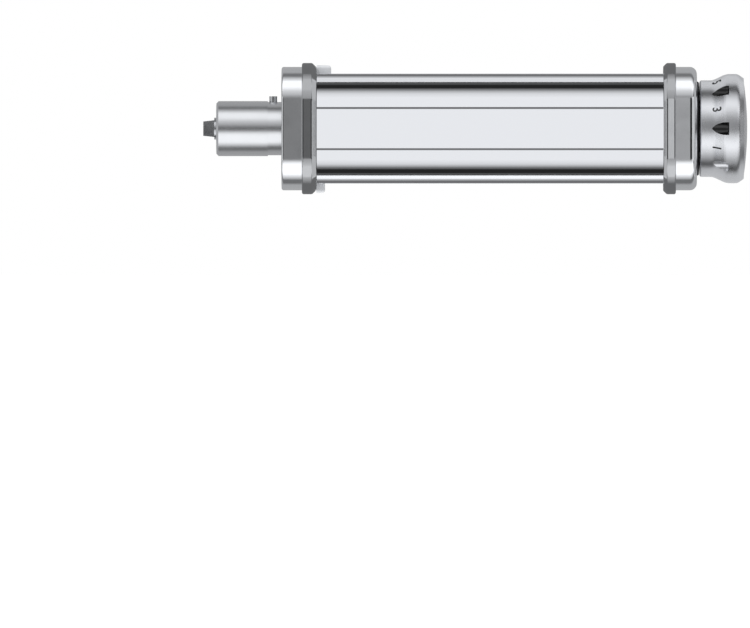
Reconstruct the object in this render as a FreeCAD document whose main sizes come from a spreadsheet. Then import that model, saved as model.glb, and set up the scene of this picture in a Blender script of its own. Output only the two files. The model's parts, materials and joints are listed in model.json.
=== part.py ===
import FreeCAD, Part
import math
import os
import re
import Sketcher
from FreeCAD import Placement, Rotation, Vector

# A pasta sheet roller for the power hub of a stand mixer.
# X runs along the rollers from the hub spigot (-X) to the adjusting knob (+X), +Z is up and -Y is the front.
# The origin is on the drive axis, in the plane where the housing meets the mixer's hub.

os.makedirs("parts", exist_ok=True)
doc = FreeCAD.newDocument("PastaRoller")

# ---------------------------------------------------------------- driving dimensions (mm, degrees, counts)

DIMENSIONS = {
    # stations along the drive axis, measured from the hub face
    "plate_left": 9.3,
    "cover_left": 15.9,
    "cover_right": 174.7,
    "plate_right": 180.2,
    "housing_right": 189.8,
    "knob_back": 191.2,
    "flare_start": 197.2,
    "flare_end": 203.0,
    "rim_end": 208.6,
    "chamfer_end": 211.4,
    "knob_face": 213.0,
    # end plates and housings: rounded squares
    "plate_half": 30.0,
    "plate_corner": 17.5,
    "left_plate_bevel": 2.1,
    "right_plate_bevel": 1.5,
    "plate_round": 0.8,
    "gear_pocket_depth": 2.5,
    "gear_pocket_half_y": 26.5,
    "gear_pocket_half_z": 14.0,
    "rib_length": 1.4,
    "rib_thick": 1.2,
    "rib_half_height": 10.0,
    "housing_half": 28.2,
    "housing_corner": 15.0,
    "housing_wall": 1.8,
    "face_wall": 2.2,
    "left_housing_round": 1.0,
    "right_housing_round": 3.2,
    "boss_radius": 3.5,
    # rolled covers
    "cover_half_height": 25.2,
    "cover_half_depth": 26.0,
    "cover_corner": 11.5,
    "cover_sheet": 1.2,
    "inlet_top": 11.0,
    "inlet_low": 8.6,
    "inlet_drop": 9.0,
    "outlet_low": 9.8,
    "outlet_drop": 4.7,
    "lip_round": 1.1,
    "groove_height": 9.4,
    "groove_half": 0.45,
    "groove_depth": 0.18,
    "cover_end_gap": 0.25,
    # rollers
    "roller_offset": 12.5,
    "roller_radius": 10.9,
    "roller_bore": 8.4,
    "roller_edge": 0.5,
    "plug_length": 8.0,
    "roller_left": 19.2,
    "roller_right": 170.8,
    "axle_radius": 4.0,
    "running_gap": 0.05,
    "bush_radius": 5.5,
    "gap_travel": 2.8,
    "settings": 8,
    "setting_angle": 22.5,
    # frame rods and their screws
    "rod_y": 15.5,
    "rod_z": 20.2,
    "rod_radius": 2.5,
    "screw_radius": 1.5,
    "screw_head": 2.75,
    "screw_depth": 9.0,
    # carriage of the adjustable roller
    "block_half_depth": 8.0,
    "block_half_height": 8.0,
    "slide_gap": 0.1,
    "flange_thick": 2.2,
    "flange_front": 8.5,
    "flange_rear": 10.4,
    "flange_clear": 0.3,
    "flange_half_height": 15.5,
    "bar_y": 20.3,
    "bar_z": 12.5,
    "bar_radius": 2.2,
    "rivet_radius": 1.5,
    # hub spigot and drive shaft
    "spigot_radius": 12.6,
    "spigot_length": 30.0,
    "spigot_bore": 7.5,
    "spigot_seat": 11.0,
    "pin_radius": 1.8,
    "pin_station": 4.0,
    "pin_depth": 2.5,
    "pin_height": 2.2,
    "relief_length": 6.5,
    "relief_depth": 0.4,
    "dimple_radius": 3.0,
    "dimple_station": 15.0,
    "drive_radius": 5.0,
    "drive_neck": 2.5,
    "tang_flat": 7.9,
    "tang_tip_flat": 6.6,
    "tang_end": 36.0,
    "drive_bush_length": 8.0,
    # gears
    "drive_module": 1.0,
    "pinion_teeth": 10,
    "step_teeth": 15,
    "sync_teeth": 12,
    "sync_root": 8.75,
    "sync_tip": 13.2,
    "drive_gear_left": 2.2,
    "drive_gear_right": 6.1,
    "sync_gear_left": 6.7,
    "sync_gear_right": 11.3,
    # adjuster
    "cam_left": 181.4,
    "cam_right": 184.4,
    "cam_radius": 17.0,
    "follower_radius": 2.5,
    "adjuster_radius": 4.0,
    "adjuster_flat": 3.2,
    "adjuster_end": 208.0,
    "cam_hub_radius": 5.0,
    "adjuster_collar": 7.5,
    "adjuster_bush_radius": 6.0,
    "adjuster_bush_flange": 8.0,
    "seal_inner": 17.0,
    "seal_outer": 21.5,
    "seal_thick": 1.1,
    "index_circle": 14.0,
    "index_radius": 1.5,
    "knob_web": 6.0,
    "index_groove_depth": 1.8,
    # knob
    "knob_radius": 22.1,
    "rim_radius": 25.0,
    "face_radius": 23.0,
    "knob_cavity": 17.5,
    "cap_radius": 21.6,
    "scallops": 8,
    "scallop_radius": 2.85,
    "scallop_floor": 22.25,
    "scallop_end": 204.4,
    "scallop_corner": 1.2,
    "flare_foot_round": 5.0,
    "rim_round": 3.5,
    "knob_back_round": 0.9,
    "spring_radius": 5.4,
    "spring_wire": 0.9,
    "spring_turns": 4.5,
    # dough guides
    "left_guide_end": 25.6,
    "right_guide_end": 166.7,
    "left_wedge_start": 18.8,
    "right_wedge_end": 171.2,
    "guide_half_depth": 9.2,
    "ear_end": 22.4,
    "ear_top": 29.0,
    "ear_round": 1.4,
    "foot_end": 19.6,
    "foot_bottom": 29.4,
    "foot_round": 1.2,
    "right_foot_start": 171.0,
    "right_foot_bottom": 24.4,
    "foot_top": 17.5,
}

sheet = doc.addObject("Spreadsheet::Sheet", "Sizes")
for row, (alias, value) in enumerate(DIMENSIONS.items(), start=1):
    sheet.set(f"A{row}", alias)
    sheet.set(f"B{row}", str(value))
    sheet.setAlias(f"B{row}", alias)
doc.recompute()

WORD = re.compile(r"\b(" + "|".join(sorted(DIMENSIONS, key=len, reverse=True)) + r")\b")


def bound(text):
    """The expression with each driving dimension pointed at its cell."""
    return WORD.sub(r"Sizes.\1", str(text))


probe = doc.addObject("App::FeaturePython", "SizeProbe")
probe.addProperty("App::PropertyFloat", "Length")


def size(text):
    """The present value of an expression, worked out with the sheet's own arithmetic."""
    probe.setExpression("Length", bound(text))
    probe.recompute()
    return probe.Length


ALONG_X = Rotation(Vector(0, 1, 0), 90)
pieces = []


# ---------------------------------------------------------------- helpers that make one kind of feature each

def new_piece(label):
    """A body for one physical piece; its label names its file."""
    body = doc.addObject("PartDesign::Body", label)
    body.Label = label
    pieces.append(body)
    return body


def place(piece, y="0", z="0", x="0"):
    """Put a finished piece at its place in the machine."""
    for axis, text in (("x", x), ("y", y), ("z", z)):
        piece.setExpression(f"Placement.Base.{axis}", bound(text))


def new_sketch(body, role, station="0"):
    """A sketch on one of the body's own origin planes, moved out along the plane's normal."""
    sketch = body.newObject("Sketcher::SketchObject", f"{body.Label}_sketch")
    plane = [feature for feature in body.Origin.OriginFeatures if feature.Role == role][0]
    sketch.AttachmentSupport = [(plane, "")]
    sketch.MapMode = "FlatFace"
    sketch.setExpression("AttachmentOffset.Base.z", bound(station))
    return sketch


def hold(sketch, geometry, position, across, up):
    """Tie a point of the sketch to two expressions measured from the origin."""
    for kind, text in (("DistanceX", across), ("DistanceY", up)):
        index = sketch.addConstraint(Sketcher.Constraint(kind, -1, 1, geometry, position, size(text)))
        sketch.setExpression(f"Constraints[{index}]", bound(text))


def draw_outline(sketch, corners):
    """A closed outline of straight lines through corners given as pairs of expressions."""
    spots = [Vector(size(across), size(up), 0) for across, up in corners]
    first = sketch.GeometryCount
    count = len(corners)
    for index in range(count):
        sketch.addGeometry(Part.LineSegment(spots[index], spots[(index + 1) % count]), False)
    for index in range(count):
        following = first + (index + 1) % count
        sketch.addConstraint(Sketcher.Constraint("Coincident", first + index, 2, following, 1))
    for index, (across, up) in enumerate(corners):
        hold(sketch, first + index, 1, across, up)


def draw_circle(sketch, radius, across="0", up="0"):
    """A circle whose centre and radius are expressions."""
    centre = Vector(size(across), size(up), 0)
    circle = sketch.addGeometry(Part.Circle(centre, Vector(0, 0, 1), size(radius)), False)
    index = sketch.addConstraint(Sketcher.Constraint("Radius", circle, size(radius)))
    sketch.setExpression(f"Constraints[{index}]", bound(radius))
    hold(sketch, circle, 3, across, up)


def rectangle(low_y, high_y, low_z, high_z):
    """Corners of an upright rectangle."""
    return [(low_y, low_z), (high_y, low_z), (high_y, high_z), (low_y, high_z)]


def square(half):
    """Corners of a square about the drive axis."""
    return rectangle(f"-({half})", half, f"-({half})", half)


def extrude(body, kind, sketch, length, reverse=False):
    """Pad or pocket a sketch; the length is an expression."""
    before = body.Shape.Volume if body.Tip else 0.0
    feature = body.newObject(f"PartDesign::{kind}", f"{body.Label}_{kind.lower()}")
    feature.Profile = sketch
    feature.setExpression("Length", bound(length))
    feature.Reversed = reverse
    doc.recompute()
    grew = body.Shape.Volume > before
    if grew != (kind == "Pad") or abs(body.Shape.Volume - before) < 1e-6:
        raise RuntimeError(f"{body.Label}: {kind} changed nothing or the wrong way")
    return feature


def pad(body, start, end, *outlines, circles=()):
    """Solid from one station to another along X; circles inside the outline become holes."""
    sketch = new_sketch(body, "YZ_Plane", start)
    for outline in outlines:
        draw_outline(sketch, outline)
    for circle in circles:
        draw_circle(sketch, *circle)
    return extrude(body, "Pad", sketch, f"({end}) - ({start})")


def cut(body, start, end, *outlines, circles=()):
    """Material taken away from one station to another along X."""
    sketch = new_sketch(body, "YZ_Plane", start)
    for outline in outlines:
        draw_outline(sketch, outline)
    for circle in circles:
        draw_circle(sketch, *circle)
    return extrude(body, "Pocket", sketch, f"({end}) - ({start})", reverse=True)


def turn(body, outline):
    """A piece turned on the lathe: corners are (station, radius) about the X axis."""
    sketch = new_sketch(body, "XY_Plane")
    draw_outline(sketch, outline)
    feature = body.newObject("PartDesign::Revolution", f"{body.Label}_turned")
    feature.Profile = sketch
    feature.ReferenceAxis = (sketch, ["H_Axis"])
    feature.Angle = 360
    doc.recompute()
    return feature


def turned_piece(label, outline, y="0", z="0"):
    """A whole piece that is one turned profile."""
    body = new_piece(label)
    turn(body, outline)
    place(body, y, z)
    return body


def tube(start, end, inner, outer):
    """Profile of a plain tube or ring."""
    return [(start, inner), (end, inner), (end, outer), (start, outer)]


def dress(body, kind, chosen, amount):
    """Fillet or chamfer the edges for which chosen(edge) is true."""
    base = body.Tip
    names = [f"Edge{number}" for number, edge in enumerate(base.Shape.Edges, start=1) if chosen(edge)]
    if not names:
        raise RuntimeError(f"{body.Label}: no edge to {kind}")
    feature = body.newObject(f"PartDesign::{kind}", f"{body.Label}_{kind.lower()}")
    feature.Base = (base, names)
    feature.setExpression("Radius" if kind == "Fillet" else "Size", bound(amount))
    doc.recompute()
    return feature


def repeat_round(body, feature, count):
    """The same feature again and again about the X axis."""
    pattern = body.newObject("PartDesign::PolarPattern", f"{body.Label}_pattern")
    pattern.Originals = [feature]
    axis = [item for item in body.Origin.OriginFeatures if item.Role == "X_Axis"][0]
    pattern.Axis = (axis, [""])
    pattern.Angle = 360
    pattern.setExpression("Occurrences", bound(count))
    body.Tip = pattern
    doc.recompute()
    return pattern


def corner_edges(half, above=0.0):
    """Picks the long edges at the four corners of a square about the axis."""
    def chosen(edge):
        middle = edge.CenterOfMass
        along = abs(edge.Vertexes[0].X - edge.Vertexes[-1].X) > above
        return along and abs(abs(middle.y) - half) < 0.01 and abs(abs(middle.z) - half) < 0.01
    return chosen


def rim_edges(station, half):
    """Picks the outline edges of a rounded square at one station."""
    def chosen(edge):
        flat = all(abs(vertex.X - station) < 0.01 for vertex in edge.Vertexes)
        middle = edge.CenterOfMass
        return flat and max(abs(middle.y), abs(middle.z)) > half * 0.8
    return chosen


SIGNS = [("-", "-"), ("", "-"), ("", ""), ("-", "")]
ROD_SPOTS = [(f"{side}rod_y", f"{level}rod_z") for side, level in SIGNS]


# ---------------------------------------------------------------- housings and end plates

def end_plate(label, outer, inner, bevel):
    """Square flange with rounded corners, bevelled where it meets the covers."""
    body = new_piece(label)
    faces_cover = size(inner) > size(outer)
    low, high = (outer, inner) if faces_cover else (inner, outer)
    bevel_start = size(inner) - size(bevel) if faces_cover else size(inner) + size(bevel)
    half = size("plate_half")
    pad(body, low, high, square("plate_half"))
    dress(body, "Fillet", corner_edges(half, 1.0), "plate_corner")
    dress(body, "Chamfer", rim_edges(size(inner), half), bevel)
    dress(body, "Fillet", rim_edges(bevel_start, half), "plate_round")
    dress(body, "Fillet", rim_edges(size(outer), half), "plate_round")
    bushes = [("bush_radius", "-roller_offset", "0")]
    screws = [("screw_radius + 0.1", y, z) for y, z in ROD_SPOTS]
    cut(body, f"{low} - 1", f"{high} + 1", block_window(), circles=bushes + screws)
    return body


def block_window():
    """Opening in which a slide block travels towards the fixed roller."""
    low = "roller_offset - block_half_depth - gap_travel - flange_clear"
    high = "roller_offset + block_half_depth + flange_clear"
    return rectangle(low, high, "-(block_half_height + slide_gap)", "block_half_height + slide_gap")


def add_cover_ribs(body, start, end):
    """Two upright ribs that the covers' ends are located on."""
    outer = "cover_half_depth - cover_sheet - slide_gap"
    inner = f"{outer} - rib_thick"
    for side in ("-", ""):
        low, high = (outer, inner) if side else (inner, outer)
        pad(body, start, end,
            rectangle(f"{side}({low})", f"{side}({high})", "-rib_half_height", "rib_half_height"))


left_end_plate = end_plate("left_end_plate", "plate_left", "cover_left", "left_plate_bevel")
cut(left_end_plate, "plate_left - 1", "plate_left + gear_pocket_depth",
    rectangle("-gear_pocket_half_y", "gear_pocket_half_y", "-gear_pocket_half_z", "gear_pocket_half_z"))
add_cover_ribs(left_end_plate, "cover_left", "cover_left + rib_length")

right_end_plate = end_plate("right_end_plate", "plate_right", "cover_right", "right_plate_bevel")
add_cover_ribs(right_end_plate, "cover_right - rib_length", "cover_right")


def end_housing(label, closed, opened, wall, edge_round, centre_hole):
    """Cup-shaped casting: a closed face, a thin skirt and four screw bosses."""
    body = new_piece(label)
    inward = size(opened) > size(closed)
    low, high = (closed, opened) if inward else (opened, closed)
    inner_face = f"{closed} + {wall}" if inward else f"{closed} - {wall}"
    inner_low, inner_high = (inner_face, opened) if inward else (opened, inner_face)
    pad(body, low, high, square("housing_half"))
    dress(body, "Fillet", corner_edges(size("housing_half"), 1.0), "housing_corner")
    dress(body, "Fillet", rim_edges(size(closed), size("housing_half")), edge_round)
    cavity = new_sketch(body, "YZ_Plane", inner_low)
    draw_rounded_square(cavity, "housing_half - housing_wall", "housing_corner - housing_wall")
    extrude(body, "Pocket", cavity, f"({inner_high}) - ({inner_low})", reverse=True)
    pad(body, inner_low, inner_high, circles=[("boss_radius", y, z) for y, z in ROD_SPOTS])
    holes = [("screw_radius + 0.1", y, z) for y, z in ROD_SPOTS] + [(centre_hole, "0", "0")]
    cut(body, f"{low} - 1", f"{high} + 1", circles=holes)
    seat_low = f"{closed} - 1" if inward else f"{closed} - 1.8"
    seat_high = f"{closed} + 1.8" if inward else f"{closed} + 1"
    cut(body, seat_low, seat_high, circles=[("screw_head + 0.2", y, z) for y, z in ROD_SPOTS])
    return body


def draw_rounded_square(sketch, half, corner):
    """Four lines and four tangent arcs about the origin."""
    reach = size(half)
    radius = size(corner)
    straight = reach - radius
    for quarter in range(4):
        angle = math.radians(90 * quarter)
        across = Vector(math.cos(angle), math.sin(angle), 0)
        up = Vector(-math.sin(angle), math.cos(angle), 0)
        side_start = across * reach - up * straight
        side_end = across * reach + up * straight
        sketch.addGeometry(Part.LineSegment(side_start, side_end), False)
        centre = across * straight + up * straight
        circle = Part.Circle(centre, Vector(0, 0, 1), radius)
        sketch.addGeometry(Part.ArcOfCircle(circle, angle, angle + math.pi / 2), False)
    for line in range(0, 8, 2):
        arc = line + 1
        following = (line + 2) % 8
        sketch.addConstraint(Sketcher.Constraint("Tangent", line, 2, arc, 1))
        sketch.addConstraint(Sketcher.Constraint("Tangent", arc, 2, following, 1))
    for line, kind in ((0, "Vertical"), (2, "Horizontal"), (4, "Vertical"), (6, "Horizontal")):
        sketch.addConstraint(Sketcher.Constraint(kind, line))
    for arc in (3, 5, 7):
        sketch.addConstraint(Sketcher.Constraint("Equal", 1, arc))
    index = sketch.addConstraint(Sketcher.Constraint("Radius", 1, radius))
    sketch.setExpression(f"Constraints[{index}]", bound(corner))
    corner_x = f"({half}) - ({corner})"
    hold(sketch, 1, 3, corner_x, corner_x)
    hold(sketch, 5, 3, f"-({corner_x})", f"-({corner_x})")


left_housing = end_housing("left_housing", "0", "plate_left", "housing_wall",
                           "left_housing_round", "spigot_seat")
right_housing = end_housing("right_housing", "housing_right", "plate_right", "face_wall",
                            "right_housing_round", "adjuster_bush_radius")
cut(right_housing, "housing_right - 3", "housing_right + 1", circles=[("index_radius", "0", "index_circle")])


# ---------------------------------------------------------------- covers

def cover(label, side):
    """Rolled sheet from the inlet lip round the front (or back) to the outlet lip, with two long grooves."""
    body = new_piece(label)
    top = "cover_half_height"
    wall = "cover_sheet * 1.04"
    inlet_slope = "(inlet_top - inlet_low) / inlet_drop"
    outlet_slope = "(inlet_top - outlet_low) / outlet_drop"
    outline = [
        ("inlet_low", f"{top} - inlet_drop"),
        ("inlet_top", top),
        ("cover_half_depth", top),
        ("cover_half_depth", f"-{top}"),
        ("inlet_top", f"-{top}"),
        ("outlet_low", f"-({top} - outlet_drop)"),
        (f"outlet_low + {wall}", f"-({top} - outlet_drop)"),
        (f"inlet_top + {wall} - {outlet_slope} * cover_sheet", f"-({top} - cover_sheet)"),
        ("cover_half_depth - cover_sheet", f"-({top} - cover_sheet)"),
        ("cover_half_depth - cover_sheet", f"{top} - cover_sheet"),
        (f"inlet_top + {wall} - {inlet_slope} * cover_sheet", f"{top} - cover_sheet"),
        (f"inlet_low + {wall}", f"{top} - inlet_drop"),
    ]
    pad(body, "cover_left + cover_end_gap", "cover_right - cover_end_gap",
        [(f"{side}({y})", z) for y, z in outline])
    bend = [
        ("cover_half_depth", top, "cover_corner"),
        ("cover_half_depth - cover_sheet", f"{top} - cover_sheet", "cover_corner - cover_sheet"),
        ("inlet_top", top, "lip_round"),
    ]
    for depth, height, radius in bend:
        reach_y, reach_z = size(depth), size(height)
        dress(body, "Fillet", long_edges_at(reach_y, reach_z), radius)
    face = f"{side}cover_half_depth"
    floor = f"{side}(cover_half_depth - groove_depth)"
    over = f"{side}(cover_half_depth + groove_depth)"
    for level in ("", "-"):
        middle = f"{level}groove_height"
        notch = [(floor, middle), (face, f"{middle} + groove_half"), (over, f"{middle} + groove_half * 2"),
                 (over, f"{middle} - groove_half * 2"), (face, f"{middle} - groove_half")]
        cut(body, "cover_left - 1", "cover_right + 1", notch)
    return body


def long_edges_at(reach_y, reach_z):
    """Picks the edges that run along X at the given distance from the axis, above and below."""
    def chosen(edge):
        middle = edge.CenterOfMass
        along = edge.Length > 100
        return along and abs(abs(middle.y) - reach_y) < 0.01 and abs(abs(middle.z) - reach_z) < 0.01
    return chosen


front_cover = cover("front_cover", "-")
rear_cover = cover("rear_cover", "")


# ---------------------------------------------------------------- frame rods and screws

rod_names = ["frame_rod_front_low", "frame_rod_rear_low", "frame_rod_rear_top", "frame_rod_front_top"]
for rod_name, (rod_spot_y, rod_spot_z) in zip(rod_names, ROD_SPOTS):
    hole_end = "cover_left + screw_depth + 1"
    far_hole_end = "cover_right - screw_depth - 1"
    turned_piece(rod_name, [
        ("cover_left", "screw_radius"), ("cover_left", "rod_radius"),
        ("cover_right", "rod_radius"), ("cover_right", "screw_radius"),
        (far_hole_end, "screw_radius"), (far_hole_end, "0"),
        (hole_end, "0"), (hole_end, "screw_radius"),
    ], rod_spot_y, rod_spot_z)


def screw_set(label, head_face, points_right):
    """Four equal screws, one into the end of each frame rod."""
    reach = "cover_left + screw_depth"
    outline = [
        ("0.9", "0"), ("0.9", "1.0"), ("0", "1.3"), ("0", "screw_head - 0.4"), ("0.4", "screw_head"),
        ("1.7", "screw_head"), ("1.7", "screw_radius"), (f"{reach} - 0.5", "screw_radius"),
        (reach, "screw_radius - 0.4"), (reach, "0"),
    ]
    group = doc.addObject("Part::Compound", label)
    group.Label = label
    screws = []
    for number, (y, z) in enumerate(ROD_SPOTS):
        screw = doc.addObject("PartDesign::Body", f"{label}_{number}")
        turn(screw, outline)
        if not points_right:
            screw.Placement = Placement(Vector(0, 0, 0), Rotation(Vector(0, 0, 1), 180))
        place(screw, y, z, head_face)
        screws.append(screw)
    group.Links = screws
    pieces.append(group)
    return group


left_housing_screws = screw_set("left_housing_screws", "0.1", True)
right_housing_screws = screw_set("right_housing_screws", "housing_right - 0.1", False)


# ---------------------------------------------------------------- hub spigot and drive shaft

hub_spigot = turned_piece("hub_spigot", [
    ("-spigot_length", "spigot_bore"), ("housing_wall", "spigot_bore"), ("housing_wall", "spigot_seat"),
    ("0", "spigot_seat"), ("0", "spigot_radius - relief_depth"),
    ("-relief_length", "spigot_radius - relief_depth"), ("-relief_length", "spigot_radius"),
    ("-(spigot_length - 1)", "spigot_radius"),
    ("-spigot_length", "spigot_radius - 1"),
])
dimple = new_sketch(hub_spigot, "XZ_Plane", "-spigot_radius - 1")
draw_circle(dimple, "dimple_radius", "-dimple_station", "0")
extrude(hub_spigot, "Pocket", dimple, "3.0", reverse=True)

pin_hole = new_sketch(hub_spigot, "XY_Plane", "spigot_radius + 1")
draw_circle(pin_hole, "pin_radius", "-pin_station", "0")
extrude(hub_spigot, "Pocket", pin_hole, "pin_depth + 1")

locating_pin = doc.addObject("Part::Cylinder", "locating_pin")
locating_pin.Label = "locating_pin"
locating_pin.setExpression("Radius", bound("pin_radius"))
locating_pin.setExpression("Height", bound("pin_depth + pin_height"))
place(locating_pin, z="spigot_radius - pin_depth", x="-pin_station")
pieces.append(locating_pin)

bush_bore = "drive_radius + running_gap"
turned_piece("shaft_bush_outer", tube("-spigot_length + 1", "-spigot_length + 1 + drive_bush_length",
                                      bush_bore, "spigot_bore"))
turned_piece("shaft_bush_inner", tube("housing_wall - drive_bush_length", "housing_wall",
                                      bush_bore, "spigot_bore"))

drive_shaft = turned_piece("drive_shaft", [
    ("-spigot_length - 1", "0"), ("-spigot_length - 1", "drive_radius"),
    ("-spigot_length + 0.1", "drive_radius"), ("-spigot_length + 0.1", "drive_radius - 0.6"),
    ("-spigot_length + 0.9", "drive_radius - 0.6"), ("-spigot_length + 0.9", "drive_radius"),
    ("drive_gear_left - 0.1", "drive_radius"), ("drive_gear_left - 0.1", "drive_neck"),
    ("drive_gear_right + 0.2", "drive_neck"), ("drive_gear_right + 0.2", "0"),
])


def tang_profile(flat):
    """Square of the drive tang, half a flat either side of the axis."""
    return square(f"{flat} / 2")


tang_sections = []
for tang_flat, tang_station in (("tang_flat", "-spigot_length"), ("tang_tip_flat", "-tang_end")):
    tang_sketch = new_sketch(drive_shaft, "YZ_Plane", tang_station)
    draw_outline(tang_sketch, tang_profile(tang_flat))
    tang_sections.append(tang_sketch)
tang = drive_shaft.newObject("PartDesign::AdditiveLoft", "drive_shaft_tang")
tang.Profile = tang_sections[0]
tang.Sections = [tang_sections[1]]
tang.Ruled = True
doc.recompute()

circlip = new_piece("shaft_circlip")
pad(circlip, "-spigot_length + 0.15", "-spigot_length + 0.85",
    circles=[("drive_radius + 1.5", "0", "0"), ("drive_radius - 0.55", "0", "0")])
cut(circlip, "-spigot_length", "-spigot_length + 1", rectangle("-1.5", "1.5", "-8", "0"))


# ---------------------------------------------------------------- gears

def gear(label, start, end, bore, root, tip, root_half, tip_half, teeth):
    """Spur gear with straight-sided teeth; half-widths are those at the tooth's foot and tip."""
    body = new_piece(label)
    pad(body, start, end, circles=[(root, "0", "0"), (bore, "0", "0")])
    tooth = [(f"{root} - 0.4", f"-({root_half})"), (f"{root} - 0.4", root_half), (root, root_half),
             (f"{tip} - 0.35", tip_half), (tip, f"{tip_half} - 0.2"), (tip, f"-({tip_half} - 0.2)"),
             (f"{tip} - 0.35", f"-({tip_half})"), (root, f"-({root_half})")]
    feature = pad(body, start, end, tooth)
    repeat_round(body, feature, teeth)
    return body


def set_on_axis(body, y, turned):
    """Place a gear on its own axis, turned by an angle that brings it into mesh."""
    body.Placement = Placement(Vector(0, 0, 0), Rotation(Vector(1, 0, 0), size(turned)))
    body.setExpression("Placement.Rotation.Angle", bound(turned))
    place(body, y)


def drive_gear(label, bore, teeth):
    """Gear of the drive train, sized by its number of teeth and the module."""
    pitch = f"({teeth} * drive_module / 2)"
    return gear(label, "drive_gear_left", "drive_gear_right", bore, f"{pitch} - 1.25 * drive_module",
                f"{pitch} + 0.9 * drive_module", "0.95 * drive_module", "0.42 * drive_module", teeth)


drive_pinion = drive_gear("drive_pinion", "drive_neck", "pinion_teeth")
step_gear = drive_gear("step_gear", "axle_radius", "step_teeth")
set_on_axis(step_gear, "-roller_offset", "180 / step_teeth")


def sync_gear(label):
    """Deep-toothed gear that stays in mesh while the rollers' spacing changes."""
    return gear(label, "sync_gear_left", "sync_gear_right", "axle_radius", "sync_root", "sync_tip",
                "1.15", "0.62", "sync_teeth")


fixed_sync_gear = sync_gear("fixed_sync_gear")
place(fixed_sync_gear, "-roller_offset")
adjustable_sync_gear = sync_gear("adjustable_sync_gear")
set_on_axis(adjustable_sync_gear, "roller_offset", "180 / sync_teeth")


# ---------------------------------------------------------------- rollers

def roller(prefix, y, left_end, right_end):
    """Barrel of polished tube with a stub axle pressed into each end."""
    turned_piece(f"{prefix}_roller", [
        ("roller_left", "roller_bore"), ("roller_right", "roller_bore"),
        ("roller_right", "roller_radius - roller_edge"), ("roller_right - roller_edge", "roller_radius"),
        ("roller_left + roller_edge", "roller_radius"), ("roller_left", "roller_radius - roller_edge"),
    ], y)
    turned_piece(f"{prefix}_roller_left_axle", [
        (left_end, "0"), (left_end, "axle_radius"), ("roller_left", "axle_radius"),
        ("roller_left", "roller_bore"), ("roller_left + plug_length", "roller_bore"),
        ("roller_left + plug_length", "0"),
    ], y)
    turned_piece(f"{prefix}_roller_right_axle", [
        (right_end, "0"), (right_end, "axle_radius"), ("roller_right", "axle_radius"),
        ("roller_right", "roller_bore"), ("roller_right - plug_length", "roller_bore"),
        ("roller_right - plug_length", "0"),
    ], y)


roller("fixed", "-roller_offset", "drive_gear_left - 0.1", "plate_right - 0.6")
roller("adjustable", "roller_offset", "sync_gear_left - 0.1", "plate_right - 2.4")

journal = "axle_radius + running_gap"
turned_piece("fixed_bush_left", [
    ("plate_left + 2.6", journal), ("roller_left - 0.6", journal), ("roller_left - 0.6", "bush_radius + 1.5"),
    ("cover_left", "bush_radius + 1.5"), ("cover_left", "bush_radius"), ("plate_left + 2.6", "bush_radius"),
], "-roller_offset")
turned_piece("fixed_bush_right", [
    ("plate_right", journal), ("roller_right + 0.6", journal), ("roller_right + 0.6", "bush_radius + 1.5"),
    ("cover_right", "bush_radius + 1.5"), ("cover_right", "bush_radius"), ("plate_right", "bush_radius"),
], "-roller_offset")


# ---------------------------------------------------------------- carriage of the adjustable roller

def block_outline(low, high, half_height):
    """Rectangle about the adjustable roller's axis."""
    return rectangle(f"roller_offset - {low}", f"roller_offset + {high}", f"-({half_height})", half_height)


def slide_block(label, body_span, flange_span, bore_span):
    """Sliding bearing block: a body in the plate's window and a wide flange on the inner side."""
    body = new_piece(label)
    pad(body, *flange_span, block_outline("flange_front", "flange_rear", "flange_half_height"))
    pad(body, *body_span, block_outline("block_half_depth", "block_half_depth", "block_half_height"))
    cut(body, *bore_span, circles=[("bush_radius", "roller_offset", "0")])
    rivets = [("rivet_radius", "bar_y", "bar_z"), ("rivet_radius", "bar_y", "-bar_z")]
    cut(body, f"{flange_span[0]} - 1", f"{flange_span[1]} + 1", circles=rivets)
    return body


left_flange = ("cover_left + flange_clear", "cover_left + flange_clear + flange_thick")
right_flange = ("cover_right - flange_clear - flange_thick", "cover_right - flange_clear")
left_slide_block = slide_block("left_slide_block", ("plate_left + 2.8", left_flange[1]), left_flange,
                               ("plate_left + 1", f"{left_flange[1]} + 1"))
right_slide_block = slide_block("right_slide_block", (right_flange[0], "plate_right + 0.4"), right_flange,
                                (f"{right_flange[0]} - 1", "plate_right - 2.2"))
pad(right_slide_block, "plate_right + 0.4", "cam_right - 0.4",
    circles=[("follower_radius", "roller_offset", "0")])

turned_piece("left_block_bush", tube("plate_left + 2.8", left_flange[1], journal, "bush_radius"),
             "roller_offset")
turned_piece("right_block_bush", tube(right_flange[0], "plate_right - 2.2", journal, "bush_radius"),
             "roller_offset")

for bar_name, bar_height in (("carriage_bar_upper", "bar_z"), ("carriage_bar_lower", "-bar_z")):
    turned_piece(bar_name, [
        (left_flange[0], "0"), (left_flange[0], "rivet_radius"), (left_flange[1], "rivet_radius"),
        (left_flange[1], "bar_radius"), (right_flange[0], "bar_radius"), (right_flange[0], "rivet_radius"),
        (right_flange[1], "rivet_radius"), (right_flange[1], "0"),
    ], "bar_y", bar_height)


# ---------------------------------------------------------------- scrapers

def scraper(label, pivot_y, pivot_z, grip, blade):
    """Moulded strip: a clip that snaps on a bar and a blade that reaches the roller's underside."""
    body = new_piece(label)
    start, end = "roller_left + 0.4", "roller_right - 0.4"
    pad(body, start, end, circles=[(f"{grip} + 1.2", pivot_y, pivot_z)])
    pad(body, start, end, blade)
    cut(body, f"{start} - 1", f"{end} + 1", circles=[(f"{grip} + 0.03", pivot_y, pivot_z)])
    return body


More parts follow.
